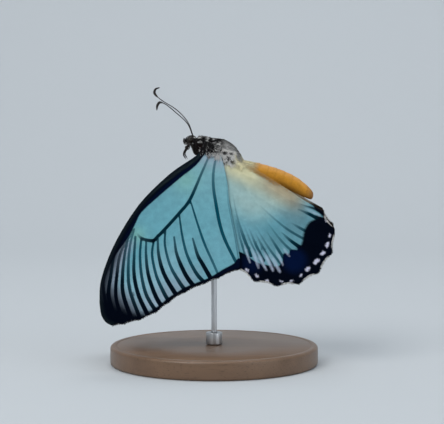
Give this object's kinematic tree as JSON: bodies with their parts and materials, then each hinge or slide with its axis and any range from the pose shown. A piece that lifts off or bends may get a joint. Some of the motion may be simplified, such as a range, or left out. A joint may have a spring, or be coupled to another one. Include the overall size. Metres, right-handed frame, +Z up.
{
  "type": "giant blue swallowtail butterfly on a display stand",
  "caption": "Life-size blue swallowtail butterfly model at the bottom of a wing stroke, nose up, held by a thin rod on a round base.",
  "frame": {"origin": "centre of the stand base's underside, straight below the middle of the thorax", "axes": "+Z up; the head points along -X and 15 degrees up; the butterfly's left side faces -Y"},
  "size_m": [0.0963, 0.088, 0.1171],
  "materials": {
    "wing": "matte scales, slightly silky",
    "body_hair": "short hair",
    "abdomen": "fine matte scales",
    "eye": "smooth gloss",
    "horn": "satin",
    "stand_wood": "satin lacquer",
    "stand_steel": "brushed"
  },
  "bodies": {
    "root": {"stand_base": "stand_wood", "stand_socket": "stand_steel", "stand_rod": "stand_steel", "head": "body_hair", "thorax": "body_hair", "abdomen": "abdomen", "eye_left": "eye", "eye_right": "eye", "palp_left": "horn", "palp_right": "horn", "proboscis": "horn", "antenna_left": "horn", "antenna_right": "horn", "forewing_left": "wing", "forewing_right": "wing", "hindwing_left": "wing", "hindwing_right": "wing", "leg_fore_left": "horn", "leg_fore_right": "horn", "leg_mid_left": "horn", "leg_mid_right": "horn", "leg_hind_left": "horn", "leg_hind_right": "horn"}
  },
  "joints": []
}
